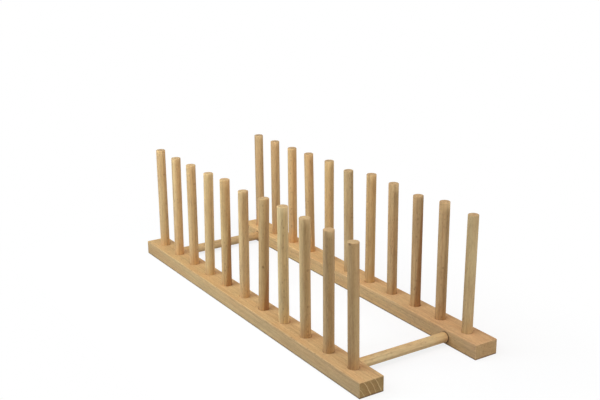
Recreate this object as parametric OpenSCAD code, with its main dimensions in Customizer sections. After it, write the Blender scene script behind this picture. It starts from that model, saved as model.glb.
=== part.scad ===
// Dish rack in beech. Two rails lie side by side, two round cross dowels join them, and each rail
// carries a row of upright pegs. The gap between one pair of pegs and the next is a slot.
//
// X runs across the rack, Y along the rails with the front end at -Y, and Z up. The origin is on
// the table, in the middle of the rack's footprint. All sizes are in millimetres.

/* [Rails] */
// Width of each rail
rail_w = 24; // [20:1:40]
// Height of each rail
rail_h = 14; // [13:0.5:30]
// Distance between the middle lines of the two rails
rail_spacing = 120; // [90:1:180]
// Bevel along the long edges of the rails
rail_bevel = 0.6; // [0.2:0.1:1.5]
// From the rails' front end to the first peg's middle
front_margin = 24.5; // [16:0.5:60]
// From the last peg's middle to the rails' rear end
rear_margin = 20.5; // [16:0.5:60]

/* [Pegs] */
// Number of pegs on each rail
peg_count = 11; // [3:1:16]
// Distance from one peg's middle to the next
peg_pitch = 35; // [26:0.5:60]
// Diameter of the pegs
peg_d = 9.5; // [6:0.5:13]
// Height of the pegs above the rail, for a peg of mean height
peg_reach = 105.5; // [60:0.5:180]
// Chamfer round both ends of a peg
peg_chamfer = 0.6; // [0.2:0.1:1.2]
// Depth of the blind holes that hold the pegs
peg_hole_depth = 10; // [6:0.5:11]

/* [Cross dowels] */
// Diameter of the cross dowels between the rails
dowel_d = 9; // [8.5:0.5:12]
// From an end peg's middle to the cross dowel's, towards the middle of the rack
dowel_inset = 14; // [11:0.5:15]
// Chamfer at the shoulder, where a cross dowel meets the rail
shoulder_chamfer = 0.8; // [0.2:0.1:1.2]
// Diameter of the tenon at each end of a cross dowel
tenon_d = 6.5; // [4:0.5:7]
// Length of each tenon inside the rail
tenon_length = 11; // [6:0.5:14]

/* [Fits] */
// Gap all round between a peg and its hole, filled with glue
peg_gap = 0.1; // [0.05:0.05:0.3]
// Gap all round between a tenon and its hole, filled with glue
tenon_gap = 0.1; // [0.05:0.05:0.3]
// Gap between a tenon's end and the bottom of its hole
tenon_end_gap = 0.5; // [0.2:0.1:1.5]

/* [Hidden] */
$fn = 48;
// Handmade rack: how far each peg, counted from the front, stands above the mean height
left_rise = [1, 0.8, 1.2, 2, -0.3, -2, 0.7, -1.5, -0.8, -1.3, 0];
right_rise = [0.5, 3, -0.3, 2.6, 3, -0.9, 0.9, 1.2, -0.3, 0, 0];
// Lean of each peg towards +X, in degrees
left_lean = [-0.6, 0, -0.2, 0, 1.3, 0.5, 0.5, 1, 0.2, 0.5, 0];
right_lean = [0.7, 0.2, 0, -0.2, 0.3, -0.7, 0, -1, 0, 0, 0];

// Derived sizes
peg_run = (peg_count - 1) * peg_pitch;
rail_length = front_margin + peg_run + rear_margin;
front_end = -rail_length / 2;
first_peg_y = front_end + front_margin;
last_peg_y = first_peg_y + peg_run;
front_dowel_y = first_peg_y + dowel_inset;
rear_dowel_y = last_peg_y - dowel_inset;
dowel_z = rail_h / 2;
inner_gap = rail_spacing - rail_w;
// Holes are drilled from this far outside the face
drill_start = 1;

rail_wood = [0.80, 0.64, 0.45];
peg_wood = [0.82, 0.66, 0.46];
dowel_wood = [0.81, 0.66, 0.45];

SIDES = ["left", "right"];

// A side's sign along X, and its own lists. The lists repeat where the rack has more pegs.
function side_sign(side) = side == "left" ? -1 : 1;
function rise(side, i) =
    let (list = side == "left" ? left_rise : right_rise) list[(i - 1) % len(list)];
function lean(side, i) =
    let (list = side == "left" ? left_lean : right_lean) list[(i - 1) % len(list)];

// Moves its children to peg i: Z = 0 at the bottom of the peg's hole, along the peg's own lean
module at_peg(side, i) {
    translate([side_sign(side) * rail_spacing / 2, first_peg_y + (i - 1) * peg_pitch, rail_h])
        rotate([0, lean(side, i), 0])
            translate([0, 0, -peg_hole_depth])
                children();
}

// A round bar along Z from 0, with a chamfer round both ends
module chamfered_bar(d, length, chamfer) {
    r = d / 2;
    rotate_extrude()
        polygon([
            [0, 0], [r - chamfer, 0], [r, chamfer],
            [r, length - chamfer], [r - chamfer, length], [0, length]
        ]);
}

// A bar along Y with bevelled long edges, standing on Z = 0
module bevelled_bar(w, h, length, bevel) {
    x = w / 2;
    rotate([90, 0, 0])
        linear_extrude(height = length, center = true)
            polygon([
                [-x + bevel, 0], [x - bevel, 0], [x, bevel], [x, h - bevel],
                [x - bevel, h], [-x + bevel, h], [-x, h - bevel], [-x, bevel]
            ]);
}

// One rail with its blind holes: a row in the top for the pegs, two in the inner side for tenons
module rail(side) {
    sign = side_sign(side);
    hole_depth = tenon_length + tenon_end_gap;
    color(rail_wood)
        difference() {
            translate([sign * rail_spacing / 2, 0, 0])
                bevelled_bar(rail_w, rail_h, rail_length, rail_bevel);
            for (i = [1:peg_count])
                at_peg(side, i)
                    cylinder(d = peg_d + 2 * peg_gap, h = peg_hole_depth + drill_start);
            for (y = [front_dowel_y, rear_dowel_y])
                translate([sign * (inner_gap / 2 - drill_start), y, dowel_z])
                    rotate([0, sign * 90, 0])
                        cylinder(d = tenon_d + 2 * tenon_gap, h = hole_depth + drill_start);
        }
}

module peg(side, i) {
    color(peg_wood)
        at_peg(side, i)
            chamfered_bar(peg_d, peg_hole_depth + peg_reach + rise(side, i), peg_chamfer);
}

// A cross dowel: its shoulders stand against the rails' inner faces, its tenons go into the rails
module cross_dowel(y) {
    r = dowel_d / 2;
    tenon_r = tenon_d / 2;
    shoulder = inner_gap / 2;
    tip = shoulder + tenon_length;
    color(dowel_wood)
        translate([0, y, dowel_z])
            rotate([0, 90, 0])
                rotate_extrude()
                    polygon([
                        [0, -tip], [tenon_r, -tip], [tenon_r, -shoulder],
                        [r - shoulder_chamfer, -shoulder], [r, -shoulder + shoulder_chamfer],
                        [r, shoulder - shoulder_chamfer], [r - shoulder_chamfer, shoulder],
                        [tenon_r, shoulder], [tenon_r, tip], [0, tip]
                    ]);
}

module left_rail() {
    rail("left");
}

module right_rail() {
    rail("right");
}

module front_cross_dowel() {
    cross_dowel(front_dowel_y);
}

module rear_cross_dowel() {
    cross_dowel(rear_dowel_y);
}

left_rail();
right_rail();
front_cross_dowel();
rear_cross_dowel();
for (side = SIDES)
    for (i = [1:peg_count])
        peg(side, i);
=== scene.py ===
# %% [markdown]
# # A dish rack in beech
#
# The rack stands on a table. Two planed rails lie side by side, two round cross dowels join them,
# and a row of turned pegs stands in each rail, with a slot between one pair of pegs and the next.
# Every piece is bare beech.
#
# The CAD model already holds the sizes and the joints. This lesson gives it its looks. Each wooden
# piece gets a new skin, a surface worked out with numpy, with eased edges and real holes. The skin
# carries its own wood coordinates, so the grain runs along the piece whichever way it lies.

# %% Load the CAD model
import math

import bmesh
import bpy
import numpy as np
from mathutils import Matrix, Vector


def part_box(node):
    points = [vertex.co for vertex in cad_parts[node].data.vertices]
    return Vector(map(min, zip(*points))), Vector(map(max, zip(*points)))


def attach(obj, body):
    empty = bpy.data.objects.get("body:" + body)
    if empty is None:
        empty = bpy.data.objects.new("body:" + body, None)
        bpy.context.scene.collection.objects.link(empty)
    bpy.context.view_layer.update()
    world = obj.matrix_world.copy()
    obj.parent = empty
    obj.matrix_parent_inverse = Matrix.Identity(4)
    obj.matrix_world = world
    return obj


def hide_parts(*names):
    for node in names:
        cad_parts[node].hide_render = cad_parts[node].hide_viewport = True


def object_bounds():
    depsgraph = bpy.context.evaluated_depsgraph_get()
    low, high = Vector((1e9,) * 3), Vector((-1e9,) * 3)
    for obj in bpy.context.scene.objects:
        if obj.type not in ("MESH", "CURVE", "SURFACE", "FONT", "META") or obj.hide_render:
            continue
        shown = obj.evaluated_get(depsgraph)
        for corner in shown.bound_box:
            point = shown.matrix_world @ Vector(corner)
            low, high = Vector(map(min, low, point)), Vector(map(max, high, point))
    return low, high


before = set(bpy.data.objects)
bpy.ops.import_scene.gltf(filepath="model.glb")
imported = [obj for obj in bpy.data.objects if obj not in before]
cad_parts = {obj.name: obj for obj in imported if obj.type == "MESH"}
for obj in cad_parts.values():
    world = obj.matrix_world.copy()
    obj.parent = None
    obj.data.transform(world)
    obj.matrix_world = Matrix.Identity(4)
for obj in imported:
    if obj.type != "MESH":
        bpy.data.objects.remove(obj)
cad_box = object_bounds()
MM = 0.001
print("CAD pieces:", len(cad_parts))
print("box in mm:", [round((high - low) / MM, 1) for low, high in zip(*cad_box)])

# %% [markdown]
# ## Read the sizes
#
# The new skins have to land exactly where the CAD pieces are. The sizes could be typed in again,
# but then they would drift apart at the first change. So the pegs' lines and the dowels' ends are
# measured on the CAD pieces. A peg may lean a little, and its line runs between the middles of its
# two ends.

# %% Read the points and the ends of a piece
# A point that lies this close to the end of a piece belongs to its end face
END_SLICE = 0.4 * MM


def mesh_points(mesh):
    """All points of a mesh, as an n x 3 array in metres."""
    points = np.empty(len(mesh.vertices) * 3)
    mesh.vertices.foreach_get("co", points)
    return points.reshape(-1, 3)


def end_slice(points, axis, sign):
    """Low and high corner of the points close to one end of the piece, along one axis."""
    level = sign * points[:, axis]
    near = points[level > level.max() - END_SLICE]
    return near.min(axis=0), near.max(axis=0)


print("points of the left rail in the CAD:", len(mesh_points(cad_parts["left_rail"].data)))

# %% Measure the pegs
SIDES = ("left", "right")


def measure_peg(name):
    """A peg's foot, which is the middle of its lower end, its unit line from there to the middle of
    its top, its length and its radius. It leans to the side only, so it is as thick as it is wide
    along the rail."""
    points = mesh_points(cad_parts[name].data)
    foot = np.mean(end_slice(points, 2, -1), axis=0)
    top = np.mean(end_slice(points, 2, 1), axis=0)
    length = np.linalg.norm(top - foot)
    return {"foot": foot, "line": (top - foot) / length, "length": length,
            "radius": np.ptp(points[:, 1]) / 2}


peg_count = sum("left_peg_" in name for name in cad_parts)
peg_names = {side: [f"{side}_peg_{i + 1}" for i in range(peg_count)] for side in SIDES}
pegs = {name: measure_peg(name) for side in SIDES for name in peg_names[side]}
pitch = np.diff([pegs[name]["foot"][1] for name in peg_names["left"]]).mean()
print("pegs on each rail:", peg_count, "pitch in mm:", round(pitch / MM, 2))
print("peg radius in mm:", round(pegs["left_peg_1"]["radius"] / MM, 2))


# %% Measure the rails and the cross dowels
def measure_dowel(name):
    """The two tips of a cross dowel, which lies along X, its radius and its tenons' radius."""
    points = mesh_points(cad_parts[name].data)
    slices = end_slice(points, 0, -1), end_slice(points, 0, 1)
    tips = [np.mean(corners, axis=0) for corners in slices]
    tenon = (slices[0][1] - slices[0][0])[2] / 2
    return {"tips": tips, "radius": np.ptp(points[:, 2]) / 2, "tenon": tenon}


rail_boxes = {side: np.array(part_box(f"{side}_rail")) for side in SIDES}
rail_top = rail_boxes["left"][1, 2]
inner_sides = {"left": rail_boxes["left"][1, 0], "right": rail_boxes["right"][0, 0]}
dowels = {name: measure_dowel(name) for name in ("front_cross_dowel", "rear_cross_dowel")}
print("rail height in mm:", round(rail_top / MM, 2))
for name, dowel in dowels.items():
    radii = dowel["radius"] / MM, dowel["tenon"] / MM
    print(name, "radius and tenon's radius in mm:", np.round(radii, 2))

# %% [markdown]
# ## From sheets of points to a mesh
#
# A mesh can be grown from a cube or a cylinder with modifiers. Here every surface is a sheet
# instead: a grid of points, rows by columns, worked out as one array. That gives full control over
# every edge and hole. A sheet may close into a ring along its columns. A piece is a few sheets
# whose borders share their points, and welding those points leaves one closed skin with no seam.

# %% Turn sheets into a welded mesh
# Points closer than this are one point, and a steeper bend than this is a sharp edge
WELD = 0.002 * MM
SHARP_FROM = math.radians(40)


def sheet_quads(rows, columns, ring):
    """Corner numbers of a sheet's quads: each joins a point to its right and lower neighbours. The
    point in row i and column j has the number i * columns + j."""
    across = columns if ring else columns - 1
    i, j = np.meshgrid(np.arange(rows - 1), np.arange(across), indexing="ij")
    right = (j + 1) % columns
    row = i * columns
    next_row = row + columns
    corners = (row + j, row + right, next_row + right, next_row + j)
    return np.stack(corners, axis=-1).reshape(-1, 4)


def make_piece(name, sheets):
    """One closed object from (points, ring) sheets, welded, with its faces pointing outwards."""
    points, quads, first = [], [], 0
    for grid, ring in sheets:
        rows, columns = grid.shape[:2]
        quads.append(sheet_quads(rows, columns, ring) + first)
        points.append(grid.reshape(-1, 3))
        first += rows * columns
    mesh = bpy.data.meshes.new(name)
    mesh.from_pydata(np.concatenate(points), [], np.concatenate(quads))
    skin = bmesh.new()
    skin.from_mesh(mesh)
    bmesh.ops.remove_doubles(skin, verts=skin.verts, dist=WELD)
    bmesh.ops.recalc_face_normals(skin, faces=skin.faces)
    open_edges = sum(not edge.is_manifold for edge in skin.edges)
    skin.to_mesh(mesh)
    skin.free()
    mesh.shade_smooth()
    mesh.set_sharp_from_angle(angle=SHARP_FROM)
    piece = bpy.data.objects.new(name, mesh)
    bpy.context.scene.collection.objects.link(piece)
    print(name, "faces:", len(mesh.polygons), "open edges:", open_edges)
    return piece


# %% [markdown]
# ## The rails
#
# A rail is a planed bar with eased edges, a row of blind holes in its top and two in its inner
# side. A box with a Bevel modifier and Boolean holes would leave long thin faces that shade badly.
# Here each face of the bar is a set of sheets that meet line for line, and a hole is a sheet of its
# own: it starts at the rim of a rectangle, shrinks to the hole's mouth and goes down to its floor.
#
# A plane leaves sharp edges, which are broken with a stroke of sandpaper. One rule does that for
# the whole bar: a point on the sharp box is pulled in to a core that is smaller by the easing
# radius, and then pushed out again by exactly that radius.

# %% Ease the edges of a box
# Radius of the edges, steps from the middle of an edge to its end, and how far past that end the
# support line lies, which keeps the flat of the face flat
EASE = 0.85 * MM
EASE_STEPS = 3
SUPPORT = 0.2 * MM


def eased(points, low, high):
    """Round a box's edges: the nearest point of the core, plus the easing radius along the line
    from there to the given point. The core is the box made smaller by that radius all round."""
    core = np.clip(points, low + EASE, high - EASE)
    away = points - core
    return core + EASE * away / np.linalg.norm(away, axis=-1, keepdims=True)


def edge_lines(low, high, inner):
    """Grid lines from low to high: close together where the edge is round, then a support line,
    then the inner lines. Line k of the round part stands where a ray from the core's edge meets
    the box, and the rays' angles go down evenly from 45 degrees to 0."""
    rays = np.linspace(math.pi / 4, 0, EASE_STEPS + 1)
    steps = EASE * (1 - np.tan(rays))
    support = EASE + SUPPORT
    near = np.append(low + steps, low + support)
    far = np.append(high - support, high - steps[::-1])
    return np.concatenate((near, inner, far))


corner = eased(rail_boxes["left"][:1], *rail_boxes["left"]) - rail_boxes["left"][:1]
print("easing takes this much off a corner, in mm:", np.round(corner[0] / MM, 2))

# %% Make a sheet that ends in a blind hole
# The rings of points from the rim, 1, to the hole's mouth, 0, which lie closer towards the mouth
RIM_STEPS = np.array([1, 0.7, 0.45, 0.27, 0.14, 0.05, 0])
# Width and depth of the bevel round the mouth
MOUTH = 0.4 * MM
WALL_STEPS = 5


def hole_sheet(rim, hole, to_space):
    """Straight lines run from the points of the rim to evenly spaced points round the hole's
    mouth, and from there down a small bevel, the wall and the floor to its middle. The rim and the
    hole's middle are pairs on the face, and to_space puts pairs in their place. The evenly spaced
    points are turned until they face the rim's, on average."""
    even = math.tau * np.arange(len(rim)) / len(rim)
    away = rim - hole["middle"]
    bearings = np.unwrap(np.arctan2(away[:, 1], away[:, 0]))
    angles = even + np.mean(bearings - even)
    circle = np.stack((np.cos(angles), np.sin(angles)), axis=-1)
    mouth = hole["middle"] + (hole["radius"] + MOUTH) * circle
    flat = mouth + RIM_STEPS[:, None, None] * (rim - mouth)
    radii = np.concatenate((np.full(WALL_STEPS, hole["radius"]), [hole["radius"] / 2, 0]))
    depths = np.concatenate((np.linspace(MOUTH, hole["depth"], WALL_STEPS), [hole["depth"]] * 2))
    wall = to_space(hole["middle"] + radii[:, None, None] * circle)
    return np.concatenate((to_space(flat), wall + depths[:, None, None] * hole["inward"]))


print("bevel round a hole's mouth in mm:", round(MOUTH / MM, 2))


# %% Cover one face of the bar
def grid_of(u, v):
    """Every crossing of the lines u and v, as pairs."""
    return np.stack(np.meshgrid(u, v, indexing="ij"), axis=-1)


def rim_of(u, v):
    """The border of the grid of u and v, once round against the clock, without a double point."""
    grid = grid_of(u, v)
    return np.concatenate((grid[:-1, 0], grid[-1, :-1], grid[:0:-1, -1], grid[0, :0:-1]))


def face_sheets(u, v, holes, to_space):
    """Sheets over one face of the bar. The lines u run across it and v along it. Each hole takes
    the middle of the face from one line v to another, and plain sheets fill the rest. The first
    and the last lines u, up to the support lines, are the eased edges."""
    edge = EASE_STEPS + 2
    middle = u[edge - 1:1 - edge]
    plain = [(u[:edge], v), (u[-edge:], v)]
    sheets, done = [], 0
    for hole in holes:
        start, stop = np.searchsorted(v, hole["span"])
        if start > done:
            plain.append((middle, v[done:start + 1]))
        rim = rim_of(middle, v[start:stop + 1])
        sheets.append((hole_sheet(rim, hole, to_space), True))
        done = stop
    if done < len(v) - 1:
        plain.append((middle, v[done:]))
    return sheets + [(to_space(grid_of(*lines)), False) for lines in plain]


def face_placer(axis, level, low, high):
    """A function that puts pairs on the face where one axis has the given level, edges eased."""
    def to_space(pairs):
        points = np.insert(pairs, axis, level, axis=-1)
        return eased(points, low, high)
    return to_space


print("points on a square's rim of 3 x 3 lines:", len(rim_of(np.arange(3.0), np.arange(3.0))))

# %% Place the holes
# The gaps for the glue: round a peg, round a tenon and past a tenon's end
PEG_FIT = 0.1 * MM
TENON_FIT = 0.1 * MM
TENON_END_FIT = 0.5 * MM
# Each hole has a cell, a stretch of the rail from one line to another: a peg's is one pitch long,
# and a tenon's reaches this many lines to both sides
LINES_PER_PITCH = 16
TENON_LINES = 4


def cell_span(cell_lines, first, last):
    """Where a cell starts and stops, a hair before its lines, so that a search finds the lines."""
    return cell_lines[[first, last]] - WELD


def peg_holes(side, cell_lines):
    """A hole for each peg of the side: it follows the peg's lean and ends at the peg's foot. Its
    depth along that line is the height from the foot to the rail's top, over the line's upward
    part."""
    holes = []
    for i, name in enumerate(peg_names[side]):
        peg = pegs[name]
        depth = (rail_top - peg["foot"][2]) / peg["line"][2]
        mouth = peg["foot"] + depth * peg["line"]
        first = i * LINES_PER_PITCH
        holes.append({
            "span": cell_span(cell_lines, first, first + LINES_PER_PITCH), "middle": mouth[:2],
            "radius": peg["radius"] + PEG_FIT, "depth": depth, "inward": -peg["line"],
        })
    return holes


def tenon_holes(side, cell_lines):
    """A hole for each cross dowel's tenon, a little deeper than the tenon is long."""
    holes = []
    for dowel in dowels.values():
        tip = dowel["tips"][SIDES.index(side)]
        reach = tip[0] - inner_sides[side]
        nearest = np.abs(cell_lines - tip[1]).argmin()
        holes.append({
            "span": cell_span(cell_lines, nearest - TENON_LINES, nearest + TENON_LINES),
            "middle": tip[[2, 1]], "radius": dowel["tenon"] + TENON_FIT,
            "depth": abs(reach) + TENON_END_FIT, "inward": np.array([np.sign(reach), 0, 0]),
        })
    return holes


print("holes in a rail:", peg_count + len(dowels))

# %% Build the rails
# Lines between the support lines, across a rail and up it
ACROSS_LINES = 10
UP_LINES = 6


def inner_lines(low, high, count):
    """Evenly spaced lines between the two support lines, both left out."""
    return np.linspace(low + EASE + SUPPORT, high - EASE - SUPPORT, count + 2)[1:-1]


def rail_sheets(side):
    """The six faces of the bar on shared grid lines. Along the rail, each peg has a cell one pitch
    long, and the lines go on beyond the cells to both ends."""
    low, high = rail_boxes[side]
    first = pegs[peg_names[side][0]]["foot"][1]
    last = pegs[peg_names[side][-1]]["foot"][1]
    line_count = peg_count * LINES_PER_PITCH + 1
    cell_lines = np.linspace(first - pitch / 2, last + pitch / 2, line_count)
    spacing = pitch / LINES_PER_PITCH
    limit = EASE + SUPPORT + spacing / 2
    front = np.arange(cell_lines[0] - spacing, low[1] + limit, -spacing)[::-1]
    rear = np.arange(cell_lines[-1] + spacing, high[1] - limit, spacing)
    x = edge_lines(low[0], high[0], inner_lines(low[0], high[0], ACROSS_LINES))
    y = edge_lines(low[1], high[1], np.concatenate((front, cell_lines, rear)))
    z = edge_lines(low[2], high[2], inner_lines(low[2], high[2], UP_LINES))

    sheets = face_sheets(x, y, [], face_placer(2, low[2], low, high))
    sheets += face_sheets(x, y, peg_holes(side, cell_lines), face_placer(2, high[2], low, high))
    for level in (low[0], high[0]):
        holes = tenon_holes(side, cell_lines) if level == inner_sides[side] else []
        place = face_placer(0, level, low, high)
        sheets += face_sheets(z, y, holes, lambda pairs: place(pairs[..., ::-1]))
    for level in (low[1], high[1]):
        sheets += face_sheets(x, z, [], face_placer(1, level, low, high))
    return sheets


rails = {side: make_piece(f"{side}_rail_skin", rail_sheets(side)) for side in SIDES}

# %% [markdown]
# ## The pegs and the cross dowels
#
# A peg is a turned stick with its two ends softened, and a cross dowel is such a stick with a
# shoulder and a thin tenon at each end. Cylinders with bevels would do for the pegs, but not for
# the dowels. Both are made the way a lathe makes them instead: a profile, which is a list of
# distances along the piece with a radius at each, is carried round the piece's line.

# %% Carry a profile round a line
ROUND_STEPS = 48
ALONG_STEP = 1.5 * MM
SOFT_STEPS = 4
# The Y part of a unit line from which it counts as lying near Y
NEAR_Y = 0.5


def across_line(line):
    """Two unit vectors square to a line and to each other. The first is the cross product of Y
    and the line, or of X and the line where the line lies near Y. The second is the cross product
    of the line and the first."""
    helper = (0, 1, 0) if abs(line[1]) < NEAR_Y else (1, 0, 0)
    first = np.cross(helper, line)
    first = first / np.linalg.norm(first)
    return first, np.cross(line, first)


def turned(start, line, profile):
    """Points start + along * line + radius * (cos a, sin a), for each (along, radius) of the
    profile and for evenly spaced angles a."""
    angles = math.tau * np.arange(ROUND_STEPS) / ROUND_STEPS
    first, second = across_line(line)
    spokes = np.outer(np.cos(angles), first) + np.outer(np.sin(angles), second)
    along, radius = profile.T
    return start + along[:, None, None] * line + radius[:, None, None] * spokes


def straight(start, stop, radius):
    """A plain stretch of a profile, in even steps."""
    steps = max(2, round(abs(stop - start) / ALONG_STEP) + 1)
    along = np.linspace(start, stop, steps)
    return np.stack((along, np.full(steps, radius)), axis=-1)


def softened_end(along, radius, soft, sign):
    """From the middle of an end face out to its rim and round a quarter circle of radius soft. The
    sign is 1 for the far end of a piece and -1 for its start."""
    turn = np.linspace(0, math.pi / 2, SOFT_STEPS + 1)
    out = radius - soft * (1 - np.sin(turn))
    back = along - sign * soft * (1 - np.cos(turn))
    face = np.array([[along, 0], [along, radius / 2]])
    return np.concatenate((face, np.stack((back, out), axis=-1)))


face_width = math.tau * pegs["left_peg_1"]["radius"] / ROUND_STEPS
print("width of a face on a peg in mm:", round(face_width / MM, 2))

# %% Build the pegs
# Radius of the rounding at both ends of a peg
PEG_SOFT = 0.6 * MM


def peg_sheets(peg):
    """One turned sheet, from the middle of the foot round the foot's end, up and over the top."""
    foot = softened_end(0, peg["radius"], PEG_SOFT, -1)
    top = softened_end(peg["length"], peg["radius"], PEG_SOFT, 1)
    stick = straight(PEG_SOFT, peg["length"] - PEG_SOFT, peg["radius"])
    profile = np.concatenate((foot, stick[1:-1], top[::-1]))
    return [(turned(peg["foot"], peg["line"], profile), True)]


peg_skins = {name: make_piece(f"{name}_skin", peg_sheets(peg)) for name, peg in pegs.items()}

# %% Build the cross dowels
# Chamfer at the shoulder and radius of the rounding at a tenon's end
SHOULDER = 0.8 * MM
TENON_SOFT = 0.5 * MM
DOWEL_LINE = np.array([1.0, 0.0, 0.0])


def dowel_sheets(dowel):
    """One turned sheet: tenon end, tenon, shoulder, chamfer, stick, and the same back again."""
    tip, far_tip = dowel["tips"]
    length = far_tip[0] - tip[0]
    tenon_end = inner_sides["left"] - tip[0]
    radius, tenon = dowel["radius"], dowel["tenon"]
    half = np.concatenate((
        softened_end(0, tenon, TENON_SOFT, -1),
        straight(TENON_SOFT, tenon_end, tenon)[1:],
        [[tenon_end, radius - SHOULDER]],
    ))
    stick = straight(tenon_end + SHOULDER, length - tenon_end - SHOULDER, radius)
    other = half[::-1] * (-1, 1) + (length, 0)
    profile = np.concatenate((half, stick, other))
    return [(turned(tip, DOWEL_LINE, profile), True)]


dowel_skins = {
    name: make_piece(f"{name}_skin", dowel_sheets(dowel)) for name, dowel in dowels.items()
}

# %% [markdown]
# ## Wood coordinates
#
# Wood looks the way it was cut from the tree. A tree grows in rings round its pith, and a board is
# a piece taken out of it. A texture wrapped round each piece could not show that, because rings
# have to go on from a side to an end. So each piece stores, at every point, where that point sat in
# the tree: how far from the pith, how far round it and how far along, all in millimetres. Year
# rings are then layers of the first number, rays run along it, and fibres run along the third.
#
# Beech has two common faults, and a cheap rack has both here and there. Red heart is the wood
# nearest the pith, turned reddish brown. A pin knot is the brown stub of a thin twig. So a piece
# also stores how far each point lies from the red heart's edge and from a knot.


# %% Store numbers on the points of a piece
def store(piece, name, kind, values):
    """Keep one value per point on the piece, under a name that the materials read."""
    attribute = piece.data.attributes.new(name, kind, "POINT")
    field = "value" if kind == "FLOAT" else "vector"
    attribute.data.foreach_set(field, np.asarray(values, np.float32).ravel())


print("points of the left rail that store numbers:", len(rails["left"].data.vertices))


# %% Find a piece's place in the tree
def tree_place(points, line, turn, pith):
    """Place in the tree, in mm. With a and b the distances from the pith across the grain, the
    radius is their length, the arc is the pith's distance times their angle, and the rest is along
    the grain. The pith lies some way off, turned about the line by an angle in degrees."""
    first, second = across_line(line)
    turn = math.radians(turn)
    out = math.cos(turn) * first + math.sin(turn) * second
    aside = math.cos(turn) * second - math.sin(turn) * first
    a = points @ out / MM + pith
    b = points @ aside / MM
    return np.stack((np.hypot(a, b), pith * np.arctan2(b, a), points @ line / MM), axis=-1)


start = tree_place(np.zeros(3), np.array([0, 0, 1]), turn=30, pith=80)
print("the start of a piece cut 80 mm from the pith lies here in the tree, in mm:", start)

# %% Store what the board gives a piece
# Points this close to the end of a piece belong to its end face
END_DEPTH = 0.3 * MM
# A board's offset moves its rings out and the piece along, so that no two pieces look alike
OFFSET_WAY = (1, 0, 10)
# A piece without these has them far away: red heart in mm, a knot in m
NO_HEART = (-50, -50)
NO_KNOT = {"at": (9, 9, 9), "size": (1, 1, 1)}


def store_wood(piece, start, line, length, wood):
    """The place in the tree, and what depends on where the piece was cut. The tones, which also
    carry painted light, and the red heart's reach past the middle line go evenly from one end of
    the piece to the other, and an end face may have a tone of its own. A knot's offset counts in
    the knot's own half sizes."""
    points = mesh_points(piece.data) - start
    along = points @ line
    share = np.clip(along / length, 0, 1)
    end = 1 - np.clip(np.minimum(along, length - along) / END_DEPTH, 0, 1)
    tones = np.array(wood["tones"])
    tone = tones[0] + share[:, None] * (tones[1] - tones[0])
    tone += end[:, None] * (wood.get("end_tone", tone) - tone)
    place = tree_place(points, line, wood["turn"], wood["pith"])
    heart = np.interp(share, (0, 1), wood.get("heart", NO_HEART))
    knot = wood.get("knot", NO_KNOT)
    from_knot = (points - knot["at"]) / (MM * np.array(knot["size"]))
    store(piece, "tree_place", "FLOAT_VECTOR", place + np.multiply(OFFSET_WAY, wood["offset"]))
    store(piece, "end_grain", "FLOAT", wood["end_shade"] * end)
    store(piece, "end_rings", "FLOAT", wood["end_rings"] * end)
    store(piece, "tone_and_painted_light", "FLOAT_VECTOR", tone)
    store(piece, "heart_distance", "FLOAT", place[:, 0] - wood["pith"] - heart)
    store(piece, "knot_offset", "FLOAT_VECTOR", from_knot)


print("an end face reaches this deep, in mm:", END_DEPTH / MM)

# %% Cut the rails from their boards
RAIL_LINE = np.array([0.0, 1.0, 0.0])
# Which way the pith lies in degrees and how far off in mm, the offset in the tree in mm, how much
# the sawn ends are tinted and how clearly they show their rings, and the tones at both ends
RAIL_BOARDS = {
    "left": {"turn": 60.7, "pith": 70, "offset": 1.5, "end_shade": 1.0, "end_rings": 0.75,
             "tones": ((0.86, 0.85, 0.83), (0.90, 0.89, 0.83))},
    "right": {"turn": 200, "pith": 95, "offset": 3, "end_shade": 0.65, "end_rings": 0.15,
              # The right rail lightens towards its rear end: painted light, as more light falls
              # there
              "tones": ((0.94, 0.92, 0.94), (1.28, 1.31, 1.20))},
}

for side, rail in rails.items():
    low, high = rail_boxes[side]
    start = np.array([(low[0] + high[0]) / 2, low[1], (low[2] + high[2]) / 2])
    store_wood(rail, start, RAIL_LINE, high[1] - low[1], RAIL_BOARDS[side])
    print(side, "rail lies", RAIL_BOARDS[side]["pith"], "mm from the pith")

# %% Set the pegs' tones and marks
TINTS = {
    "plain": (1, 1, 1),
    "yellow": (1.01, 1.01, 0.94),
    "red": (1.03, 0.99, 0.92),
    "grey": (0.98, 1.02, 1.03),
    "green": (0.93, 1.01, 1.05),
}
# Each peg's tint and lightness, from the front. The lightness is partly the stick's own tone and
# partly painted light: the pegs are darker at the front and lighter towards the rear, where more
# light falls on them
PEG_TONES_AND_PAINTED_LIGHT = {
    "left": (
        ("red", 0.65), ("plain", 0.75), ("grey", 0.87), ("green", 1.05),
        ("red", 0.75), ("plain", 0.92), ("red", 0.82), ("grey", 0.97),
        ("plain", 0.93), ("plain", 0.96), ("plain", 0.95),
    ),
    "right": (
        ("green", 0.87), ("plain", 0.84), ("plain", 0.83), ("plain", 0.84),
        ("yellow", 0.93), ("green", 0.94), ("yellow", 1.01), ("red", 0.95),
        ("red", 1.01), ("plain", 0.95), ("plain", 0.95),
    ),
}
# A peg's top gets one tone of its own, without the painted light in the lightness of its side
PEG_END_TONE = 0.87
DOWEL_TONE = (0.92, 1.0, 1.03)
# How far the red heart reaches past the middle line at a peg's foot and at its top, in mm, and the
# way to its pith in degrees
HEARTS = {"left_peg_5": (-1.7, -9), "left_peg_7": (-1.9, -6), "right_peg_3": (-0.3, -5)}
HEART_TURN = 120
# A knot's height above the rail in mm, the way it faces in degrees and its half sizes in mm
KNOTS = {
    "left_peg_5": {"height": 42, "facing": -130, "size": (1.3, 1.3, 1.5)},
    "left_peg_1": {"height": 105.7, "facing": -164, "size": (1.4, 1.4, 1.5)},
}
print("pegs with red heart:", len(HEARTS), "with a knot:", len(KNOTS))

# %% Cut the pegs and the cross dowels from their boards
# The least and the most of a turn in degrees, and of a pith's distance and an offset in mm
BOARD_RANGE = ((0, 40, 0), (360, 120, 40))
rng = np.random.default_rng(7)


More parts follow.
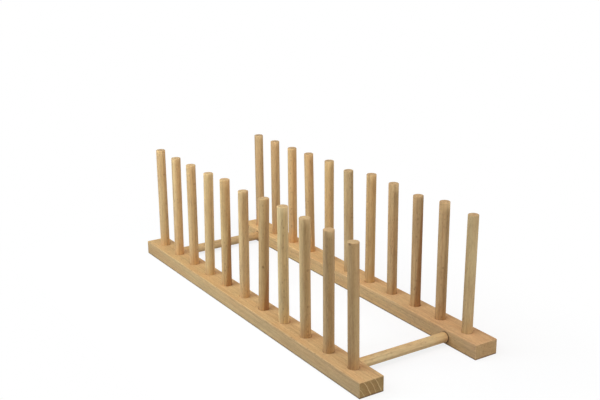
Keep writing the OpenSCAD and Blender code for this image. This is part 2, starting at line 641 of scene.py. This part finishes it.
def stick_wood(tone):
    """The board of a round stick, from anywhere in a tree, with one tone from end to end."""
    turn, pith, offset = rng.uniform(*BOARD_RANGE)
    return {"turn": turn, "pith": pith, "offset": offset, "end_shade": 1.0, "end_rings": 0.3,
            "tones": [tone] * 2}


def knot_on(peg, height, facing, size):
    """A knot on a peg's side: from its foot up the line, and then out by its radius."""
    facing = math.radians(facing)
    out = peg["radius"] * np.array([math.cos(facing), math.sin(facing), 0])
    up = height * MM + rail_top - peg["foot"][2]
    return {"at": out + up * peg["line"], "size": size}


for side in SIDES:
    for name, (tint, light) in zip(peg_names[side], PEG_TONES_AND_PAINTED_LIGHT[side]):
        peg = pegs[name]
        wood = stick_wood(np.multiply(TINTS[tint], light)) | {"end_tone": PEG_END_TONE}
        if name in HEARTS:
            wood |= {"turn": HEART_TURN, "heart": HEARTS[name]}
        if name in KNOTS:
            wood["knot"] = knot_on(peg, **KNOTS[name])
        store_wood(peg_skins[name], peg["foot"], peg["line"], peg["length"], wood)
for name, dowel in dowels.items():
    tip, far_tip = dowel["tips"]
    store_wood(dowel_skins[name], tip, DOWEL_LINE, far_tip[0] - tip[0], stick_wood(DOWEL_TONE))
print("sticks cut:", len(peg_skins) + len(dowel_skins))

# %% [markdown]
# ## Where the wood gets soiled, with painted shade
#
# Bare wood keeps what touches it. Glue is squeezed out of a joint and wiped off, which leaves a
# thin dark line at the joint and a warm stain along the piece that goes into it. The rails' lower
# edges pick up dirt from the table. These marks are painted shade as well: the dark line and the
# dark lower edges are painted contact shadow, and the warm stain is painted warm shade near the
# joint. A painter would draw that by hand. Here each point stores how far it is from the dirt and
# from the joint, and the material turns that into a colour.


# %% Measure how far each point is from the dirt and its painted contact shadow
# Where the dirt and its painted contact shadow are thick up to, and where they end, in mm from a
# peg's joint, a dowel's or the table. A peg's joint is only a little dirty and shaded, so the thick
# part would end before the joint
PEG_DIRT_AND_SHADE = (-0.4, 0.7)
DOWEL_DIRT_AND_SHADE = (0, 1.2)
TABLE_DIRT_AND_SHADE = (0.9, 2.0)


def dirt_and_shade_share(distance, dirt_and_shade):
    """0 where the dirt and its painted contact shadow are thick and 1 where they end, from a
    distance in metres.
    """
    return (distance / MM - dirt_and_shade[0]) / (dirt_and_shade[1] - dirt_and_shade[0])


def rail_dirt_and_shade(side):
    """The least share for the table, for each peg's rim and for each dowel's. A rim's distance
    joins the way out to it and the way off the face that it lies in."""
    points = mesh_points(rails[side].data)
    # The table's share: dirt and painted contact shadow along the lower edges
    shares = [dirt_and_shade_share(points[:, 2] - rail_boxes[side][0, 2], TABLE_DIRT_AND_SHADE)]
    for peg in (pegs[name] for name in peg_names[side]):
        mouth = peg["foot"] + peg["line"] * (rail_top - peg["foot"][2])
        out = np.linalg.norm((points - mouth)[:, :2], axis=1) - peg["radius"]
        distance = np.hypot(np.maximum(out, 0), rail_top - points[:, 2])
        shares.append(dirt_and_shade_share(distance, PEG_DIRT_AND_SHADE))
    for dowel in dowels.values():
        tip = dowel["tips"][SIDES.index(side)]
        out = np.linalg.norm((points - tip)[:, 1:], axis=1) - dowel["radius"]
        distance = np.hypot(np.maximum(out, 0), points[:, 0] - inner_sides[side])
        shares.append(dirt_and_shade_share(distance, DOWEL_DIRT_AND_SHADE))
    return np.min(shares, axis=0)


print("dirt on a dowel ends at this distance from the rail, in mm:", DOWEL_DIRT_AND_SHADE[1])

# %% Store the dirt with its painted contact shadow, and the joints' distance
# The stain and its painted warm shade are on the sticks alone, so a rail's own joint lies out of
# their reach, in mm
NO_JOINT = 100

for side, rail in rails.items():
    shares = rail_dirt_and_shade(side)
    store(rail, "dirt_and_shade_share", "FLOAT", shares)
    store(rail, "joint_distance", "FLOAT", np.full(len(shares), NO_JOINT))
    print(f"share of the {side} rail's points with dirt:", round(float(np.mean(shares < 1)), 3))
for name, skin in peg_skins.items():
    above = mesh_points(skin.data)[:, 2] - rail_top
    store(skin, "dirt_and_shade_share", "FLOAT", dirt_and_shade_share(np.abs(above), PEG_DIRT_AND_SHADE))
    store(skin, "joint_distance", "FLOAT", above / MM)
for name, skin in dowel_skins.items():
    inside = inner_sides["right"] - np.abs(mesh_points(skin.data)[:, 0])
    store(skin, "dirt_and_shade_share", "FLOAT", dirt_and_shade_share(np.abs(inside), DOWEL_DIRT_AND_SHADE))
    store(skin, "joint_distance", "FLOAT", inside / MM)

# %% [markdown]
# ## Bare beech
#
# Beech is a pale, even wood with a warm tan colour. Close up it has three marks. The year rings end
# in a slightly darker line. The rays, which run out from the pith, show as short dark flecks on
# most faces. The fibres give fine streaks along the grain. The wood is planed or turned and lightly
# sanded, with no oil or varnish, so it is matt.
#
# A photograph of wood on each piece would be quick, but it would repeat and end at every edge. The
# material is built from noise on the wood coordinates instead, so no two pieces are alike.


# %% Write nodes and colours
def linear(code):
    """An sRGB hex code as linear red, green, blue and alpha, by the curve of the sRGB standard."""
    parts = [int(code[i:i + 2], 16) / 255 for i in (1, 3, 5)]
    return (*(c / 12.92 if c <= 0.04045 else ((c + 0.055) / 1.055) ** 2.4 for c in parts), 1)


def node(tree, kind, *inputs, named=None, **settings):
    """Add a shader node and return its outputs. Its inputs come in order, or by name in named.
    One that is another node's output is linked, and any other is a number or a colour."""
    made = tree.nodes.new("ShaderNode" + kind)
    for name, value in settings.items():
        setattr(made, name, value)
    for key, value in [*enumerate(inputs), *(named or {}).items()]:
        if isinstance(value, bpy.types.NodeSocket):
            tree.links.new(value, made.inputs[key])
        else:
            made.inputs[key].default_value = value
    return made.outputs


def new_material(name):
    """An empty material, with only its node tree."""
    material = bpy.data.materials.new(name)
    material.use_nodes = True
    material.node_tree.nodes.clear()
    return material, material.node_tree


PALE_BEECH = linear("#daad77")
DARK_BEECH = linear("#ad8356")
print("pale beech in linear light:", [round(value, 3) for value in PALE_BEECH])

# %% Set the sizes and strengths of the grain
# Each pattern has the size of its bumps in mm, out from the pith, round it and along the grain,
# and its detail. Real fibres are about 0.02 mm wide, which is too fine to show, so they're drawn
# 0.6 mm wide
GRAIN = {
    "wobble": ((14, 14, 110), 2.0),
    "uneven": ((9, 900, 4000), 0.0),
    "fibres": ((0.6, 0.6, 25), 3.0),
    "fuzz": ((1.3, 1.3, 7), 2.0),
    "streaks": ((2.5, 2.5, 90), 2.0),
    "mottling": ((9, 9, 35), 3.0),
    "blush": ((8, 12, 60), 1.0),
}
# The cells that hold one ray fleck each, in mm in the same order
RAY_CELL = (6.0, 0.55, 4.0)
# The width of a year ring in mm, the tint of a sawn end, how dark the palest wood is, and how much
# late wood and each pattern darken it. The rails' boards are plainer than the pegs' wood
PLANED = {
    "ring_width": 5.5, "end_tint": linear("#c3bdaa"), "palest": -0.20, "late": 0.12,
    "fibres": 0.34, "fuzz": 0.30, "streaks": 0.28, "mottling": 0.16,
}
TURNED = {
    "ring_width": 4.0, "end_tint": linear("#f0f8fe"), "palest": -0.34, "late": 0.28,
    "fibres": 0.32, "fuzz": 0.26, "streaks": 0.36, "mottling": 0.30,
}
print("patterns in the grain:", ", ".join(GRAIN))


# %% Draw the grain's noise and the years
# How far the rings wave in and out, and by how much the years differ, in mm
WAVE = 3.0
YEAR_CHANGE = 5.0


def grain_patterns(tree, place):
    """Noise from 0 to 1 for each pattern: the place in the tree is divided by a bump's size."""
    patterns = {}
    for name, (size, detail) in GRAIN.items():
        scaled = node(tree, "VectorMath", place, size, operation="DIVIDE")[0]
        named = {"Scale": 1.0, "Detail": detail}
        patterns[name] = node(tree, "TexNoise", scaled, named=named)["Fac"]
    return patterns


def ring_phase(tree, place, patterns, ring_width):
    """How far through its year a point grew, from 0 to 1: the fraction of its radius over the ring
    width, after the radius is made wavy and the years uneven."""
    radius = node(tree, "SeparateXYZ", place)[0]
    wavy = node(tree, "Math", patterns["wobble"], WAVE, radius, operation="MULTIPLY_ADD")[0]
    uneven = node(tree, "Math", patterns["uneven"], YEAR_CHANGE, wavy, operation="MULTIPLY_ADD")[0]
    years = node(tree, "Math", uneven, ring_width, operation="DIVIDE")[0]
    return node(tree, "Math", years, operation="FRACT")[0]


rail_width = np.ptp(rail_boxes["left"][:, 0]) / MM
print("years across a rail with upright rings:", round(rail_width / PLANED["ring_width"], 1))

# %% Draw the grain's darkness and the flecks
SMOOTH = {"interpolation_type": "SMOOTHSTEP"}
# The shares of a year in which late wood darkens, and then ends
LATE_WOOD = (0.25, 0.93)
YEAR_END = (0.94, 1.0)
# Noise stays near its middle, so only the levels between these two count
NOISE_LEVELS = (0.25, 0.75)
# From a cell's middle, in cells: how far its fleck is solid, and where it is gone
FLECK_EDGE = (0.12, 0.42)


def wood_darkness(tree, phase, patterns, look):
    """Late wood, which darkens through the year and ends sharply, plus each pattern's share."""
    late = node(tree, "MapRange", phase, *LATE_WOOD, 0.0, look["late"], **SMOOTH)[0]
    ended = node(tree, "MapRange", phase, *YEAR_END, 1.0, 0.0, **SMOOTH)[0]
    darkness = node(tree, "Math", late, ended, look["palest"], operation="MULTIPLY_ADD")[0]
    for name in ("fibres", "fuzz", "streaks", "mottling"):
        shade = node(tree, "MapRange", patterns[name], *NOISE_LEVELS, 0.0, look[name], **SMOOTH)[0]
        darkness = node(tree, "Math", darkness, shade)[0]
    return darkness


def ray_flecks(tree, place):
    """Thin spindles from 0 to 1, each the core of a stretched cell, and each of its own strength,
    which comes from the cell's random colour."""
    scaled = node(tree, "VectorMath", place, RAY_CELL, operation="DIVIDE")[0]
    cells = node(tree, "TexVoronoi", scaled, named={"Scale": 1.0})
    core = node(tree, "MapRange", cells["Distance"], *FLECK_EDGE, 1.0, 0.0, **SMOOTH)[0]
    strength = node(tree, "SeparateColor", cells["Color"])[0]
    return node(tree, "Math", core, strength, operation="MULTIPLY")[0]


fleck_size = 2 * FLECK_EDGE[1] * np.array(RAY_CELL)
print("a fleck's size in mm, out, round and along:", np.round(fleck_size, 1))

# %% Draw the marks
# From and to: where each mark is full and where it is gone. The heart's edge, and the stain with
# its painted warm shade, count in mm, and a knot counts in its own half sizes
HEART_EDGE = (0.4, 1.6)
KNOT_EDGE = (0.4, 1.2)
STAIN_AND_SHADE_EDGE = (2.0, 22.0)
# How far the heart's edge wanders with the streaks, in mm
HEART_RAGGED = 2.0
# How much of its own colour a knot, and the dirt with its painted contact shadow, have where they
# are full
KNOT_FULL = 0.6
DIRT_AND_SHADE_FULL = 0.6


def red_heart(tree, patterns):
    """1 inside the red heart and 0 outside, over a ragged edge about a millimetre wide."""
    edge = node(tree, "Attribute", attribute_name="heart_distance")["Fac"]
    streaks = patterns["streaks"]
    ragged = node(tree, "Math", streaks, HEART_RAGGED, edge, operation="MULTIPLY_ADD")[0]
    return node(tree, "MapRange", ragged, *HEART_EDGE, 1.0, 0.0, **SMOOTH)[0]


def knot_spot(tree):
    """The strength of a pin knot, by the length of the stored offset from its middle."""
    offset = node(tree, "Attribute", attribute_name="knot_offset")["Vector"]
    distance = node(tree, "VectorMath", offset, operation="LENGTH")["Value"]
    return node(tree, "MapRange", distance, *KNOT_EDGE, KNOT_FULL, 0.0, **SMOOTH)[0]


def joint_marks(tree):
    """The warm stain with its painted warm shade, strongest at the joint, and the thick dirt with
    its painted contact shadow at joints and edges.
    """
    distance = node(tree, "Attribute", attribute_name="joint_distance")["Fac"]
    # The warm stain, strongest at the joint, is also painted warm shade
    stain_and_shade = node(tree, "MapRange", distance, *STAIN_AND_SHADE_EDGE, 1.0, 0.0, **SMOOTH)[0]
    share = node(tree, "Attribute", attribute_name="dirt_and_shade_share")["Fac"]
    # The dirt is also painted contact shadow where the pieces and the table meet
    dirt_and_shade = node(tree, "MapRange", share, 0.0, 1.0, DIRT_AND_SHADE_FULL, 0.0, **SMOOTH)[0]
    return stain_and_shade, dirt_and_shade


print("the warm stain reaches this far along a peg, in mm:", STAIN_AND_SHADE_EDGE[1])

# %% Lay the colours over each other
# Warm patches: the noise levels where they begin and are full, and how full
BLUSH_LEVELS = (0.35, 0.65)
BLUSH_FULL = 0.6
FLECK_FULL = 0.55
# The share of a year that shows as a pale line on a sawn end
PALE_LINE = 0.16


def layers(tree, wood, marks):
    """Colours laid over the wood one by one, each with its own factor and way of blending."""
    for factor, colour, blend in marks:
        named = {"Factor": factor, "A": wood, "B": colour}
        wood = node(tree, "Mix", named=named, data_type="RGBA", blend_type=blend)["Result"]
    return wood


def marked_wood(tree, patterns, phase, flecks, look):
    """The darkness slides the colour from pale to dark, and the marks go over it."""
    blush = node(tree, "MapRange", patterns["blush"], *BLUSH_LEVELS, 0.0, BLUSH_FULL)[0]
    fleck_share = node(tree, "Math", flecks, FLECK_FULL, operation="MULTIPLY")[0]
    stain_and_shade, dirt_and_shade = joint_marks(tree)
    # Sawn end grain is a flat tint over the wood, with a pale line where each year begins
    end = node(tree, "Attribute", attribute_name="end_grain")["Fac"]
    rings = node(tree, "Attribute", attribute_name="end_rings")["Fac"]
    early = node(tree, "MapRange", phase, 0.0, PALE_LINE, 1.0, 0.0, **SMOOTH)[0]
    pale = node(tree, "Math", early, rings, operation="MULTIPLY")[0]
    # The tone of the piece's own board comes last, with the painted light that the tones carry
    tone = node(tree, "Attribute", attribute_name="tone_and_painted_light")["Vector"]
    return layers(tree, PALE_BEECH, [
        (wood_darkness(tree, phase, patterns, look), DARK_BEECH, "MIX"),
        (blush, linear("#fff1e8"), "MULTIPLY"),
        (fleck_share, linear("#8a5f3e"), "MIX"),
        (red_heart(tree, patterns), linear("#ddccbf"), "MULTIPLY"),
        (knot_spot(tree), linear("#6b4628"), "MIX"),
        # A warm glue stain, which is also painted warm shade near the joint
        (stain_and_shade, linear("#fff5e7"), "MULTIPLY"),
        (end, look["end_tint"], "MULTIPLY"),
        (pale, PALE_BEECH, "MIX"),
        # Dark dirt, which is also painted contact shadow, at the joints and the lower edges
        (dirt_and_shade, linear("#4e3322"), "MIX"),
        (1.0, tone, "MULTIPLY"),
    ])


print("pale line on a rail's end, in mm:", round(PALE_LINE * PLANED["ring_width"], 2))

# %% Put the beech together
# The fibres stand up by this much, and a fleck lies deeper by this share of it
RELIEF = 0.05 * MM
FLECK_SINK = 0.5


def beech(name, look):
    """A material for bare beech: the marked wood, with the relief of its fibres and flecks."""
    material, tree = new_material(name)
    place = node(tree, "Attribute", attribute_name="tree_place")["Vector"]
    patterns = grain_patterns(tree, place)
    phase = ring_phase(tree, place, patterns, look["ring_width"])
    flecks = ray_flecks(tree, place)
    wood = marked_wood(tree, patterns, phase, flecks, look)
    fibres = patterns["fibres"]
    relief = node(tree, "Math", flecks, -FLECK_SINK, fibres, operation="MULTIPLY_ADD")[0]
    bump = node(tree, "Bump", named={"Height": relief, "Strength": 0.5, "Distance": RELIEF})[0]
    shader = node(tree, "BsdfPrincipled", named={
        "Base Color": wood, "Normal": bump, "Roughness": 0.8, "IOR": 1.5, "Specular IOR Level": 0.2,
    })
    node(tree, "OutputMaterial", shader[0])
    print(name, "nodes:", len(tree.nodes))
    return material


planed_beech = beech("planed_beech", PLANED)
turned_beech = beech("turned_beech", TURNED)

# %% [markdown]
# ## Finish every piece
#
# The materials are shared, so each piece only has to be given one. It also has to move with the
# rack's body and to stand for its CAD node, which is hidden from then on.


# %% Give every piece its finish, its body and its CAD node
def finish_piece(piece, material, name):
    """The piece gets its material, rides with the rack and stands for its CAD node."""
    piece.data.materials.append(material)
    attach(piece, "root")
    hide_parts(name)


for side, rail in rails.items():
    finish_piece(rail, planed_beech, f"{side}_rail")
for name, skin in peg_skins.items():
    finish_piece(skin, turned_beech, name)
for name, skin in dowel_skins.items():
    finish_piece(skin, turned_beech, name)
print("finished pieces:", len(rails) + len(peg_skins) + len(dowel_skins))

# %% [markdown]
# ## The floor
#
# The rack stands on a wide sweep of white paper. A white plane alone would come out grey far from
# the lamps. So the paper keeps the rack's soft shadow close by, and further out it glows plain
# white, for the camera and for what a shiny surface would mirror. Light that bounces off it meets
# a grey that is dark enough not to fill the shadows from below.

# %% Tell which rays see the background
BACKGROUND_RAYS = ("Is Camera Ray", "Is Glossy Ray", "Is Transmission Ray")


def sees_background(tree):
    """1 for the rays above, by the largest of the three flags, and 0 for those that carry light
    from one matt surface to another."""
    rays = node(tree, "LightPath")
    camera, glossy, through = (rays[name] for name in BACKGROUND_RAYS)
    seen = node(tree, "Math", camera, glossy, operation="MAXIMUM")[0]
    return node(tree, "Math", seen, through, operation="MAXIMUM")[0]


print("kinds of rays that see the background:", len(BACKGROUND_RAYS))

# %% Build the floor
# Half the paper's width in m, and its height, a hair below the rails
FLOOR_HALF = 12.0
FLOOR_Z = -0.05 * MM

corners = FLOOR_HALF * np.array([[-1, -1, 0], [1, -1, 0], [1, 1, 0], [-1, 1, 0]]) + [0, 0, FLOOR_Z]
floor_mesh = bpy.data.meshes.new("floor")
floor_mesh.from_pydata(corners, [], [[0, 1, 2, 3]])
floor = bpy.data.objects.new("floor", floor_mesh)
bpy.context.scene.collection.objects.link(floor)
print("floor width in m:", 2 * FLOOR_HALF)

# %% Make the paper
WHITE = (1, 1, 1, 1)
# The paper's colour for those rays, and the grey that light bouncing off it meets
PAPER = linear("#f9f0e6")
BOUNCE = (0.35, 0.35, 0.35, 1)
# How much of the paper glows close to the rack, and how far from it, in m, all of it does
GLOW_NEAR = 0.78
SHADOW_REACH = 0.14

paper, tree = new_material("white_paper")
place = node(tree, "TexCoord")["Object"]
place = node(tree, "VectorMath", place, operation="ABSOLUTE")[0]
beyond = node(tree, "VectorMath", place, (*cad_box[1][:2], 0), operation="SUBTRACT")[0]
beyond = node(tree, "VectorMath", beyond, (0, 0, 0), operation="MAXIMUM")[0]
distance = node(tree, "VectorMath", beyond, operation="LENGTH")["Value"]
far = node(tree, "MapRange", distance, 0.0, SHADOW_REACH, GLOW_NEAR, 1.0, **SMOOTH)[0]
seen = sees_background(tree)
glowing = node(tree, "Math", far, seen, operation="MULTIPLY")[0]
colours = {"Factor": seen, "A": BOUNCE, "B": PAPER}
paint = node(tree, "Mix", named=colours, data_type="RGBA")["Result"]
matt = node(tree, "BsdfDiffuse", paint)[0]
glow = node(tree, "Emission", WHITE, 1.0)[0]
node(tree, "OutputMaterial", node(tree, "MixShader", glowing, matt, glow)[0])
floor_mesh.materials.append(paper)
print("the shadow fades out over", SHADOW_REACH, "m")

# %% [markdown]
# ## The light
#
# A product like this is lit with large softboxes close by, so that the round pegs shade gently from
# side to side. One hangs overhead. Three stand on the left, high, in front and low, so the pegs'
# shadows fall on the rails to their right and stay soft. A weak bluish fill lies low on the left,
# and more fills stand in front, on the right and behind. The lamps differ a little in colour, as
# real ones do: the overhead light is warmer than the light from the left. No lamp shows in the
# picture, wherever the camera stands.
#
# The world adds a little light from everywhere, and shows plain white to the camera and in
# reflections.

# %% Set up the lamps
# The point in the rack that all the lamps face
AIM = (0, 0, 0.05)
# Where each lamp hangs in m, its width in m, its power in W and its colour
LAMPS = {
    "overhead": ((0, -0.35, 0.9), 0.5, 2.4, (1, 0.84, 0.95)),
    "high_left_softbox": ((-0.25, 0, 0.55), 0.5, 1.65, (0.69, 0.76, 1)),
    "left_front_softbox": ((-0.42, -0.2, 0.42), 0.5, 1.02, (0.7, 1, 0.85)),
    "low_left_softbox": ((-0.35, 0.12, 0.25), 0.25, 1.22, (0.76, 1, 0.92)),
    "low_left_fill": ((-0.9, 0.3, 0.2), 0.4, 3.1, (0, 0.14, 1)),
    "front_fill": ((0, -1.5, 0.3), 0.3, 10.5, (0.57, 0.75, 1)),
    "front_right_fill": ((0.4, -1.45, 0.3), 0.3, 6.4, (0.67, 0.88, 1)),
    "rear_fill": ((0, 1.45, 0.5), 0.9, 7.3, (0.89, 1, 0.99)),
    "right_fill": ((1.45, 0, 0.5), 0.9, 5.8, (0.89, 1, 0.99)),
}


def aimed(at, aim):
    """A rotation that looks from one point to another, with the top side up."""
    back = np.subtract(at, aim) / np.linalg.norm(np.subtract(at, aim))
    right = np.cross((0, 0, 1), back)
    right = right / np.linalg.norm(right)
    return Matrix(np.column_stack((right, np.cross(back, right), back)).tolist()).to_4x4()


for name, (at, size, power, colour) in LAMPS.items():
    light = bpy.data.lights.new(name, "AREA")
    light.size = size
    light.energy = power
    light.color = colour
    lamp = bpy.data.objects.new(name, light)
    lamp.matrix_world = Matrix.Translation(at) @ aimed(at, AIM)
    lamp.visible_camera = False
    bpy.context.scene.collection.objects.link(lamp)
total_power = sum(power for _, _, power, _ in LAMPS.values())
print("lamps:", len(LAMPS), "power together in W:", round(total_power, 1))

# %% Light the world
# The world's strength for the rays that don't see the background, where 1 is white
AMBIENT = 0.15

world = bpy.data.worlds.new("studio")
bpy.context.scene.world = world
world.use_nodes = True
tree = world.node_tree
tree.nodes.clear()
dim = node(tree, "Background", WHITE, AMBIENT)[0]
white = node(tree, "Background", WHITE, 1.0)[0]
node(tree, "OutputWorld", node(tree, "MixShader", sees_background(tree), dim, white)[0])
print("light from all round:", AMBIENT)

# %% [markdown]
# ## The camera
#
# The camera looks down on the rack from the front left. Its place, its turn and its lens were
# found by matching the pegs' tops and feet with a photograph of such a rack: the pegs' spacing
# gives the distance and the lens, and their upright lines give the tilt. Standard view keeps
# colours as they are written.

# %% Place the camera
# Where the camera stands in m, which way it looks, and its lens and the film's width in mm
EYE = (-0.4691, -0.7371, 0.3682)
AZIMUTH = math.radians(-32.54)
ELEVATION = math.radians(17.13)
ROLL = math.radians(-0.50)
LENS = 57.96
FILM_WIDTH = 36

camera_data = bpy.data.cameras.new("camera")
camera_data.lens = LENS
camera_data.sensor_width = FILM_WIDTH
camera = bpy.data.objects.new("camera", camera_data)
tilt = Matrix.Rotation(math.pi / 2 - ELEVATION, 4, "X") @ Matrix.Rotation(ROLL, 4, "Z")
camera.matrix_world = Matrix.Translation(EYE) @ Matrix.Rotation(AZIMUTH, 4, "Z") @ tilt
bpy.context.scene.collection.objects.link(camera)
bpy.context.scene.camera = camera
bpy.context.scene.view_settings.view_transform = "Standard"
print("camera's distance from the rack in m:", round(math.dist(EYE, AIM), 3))
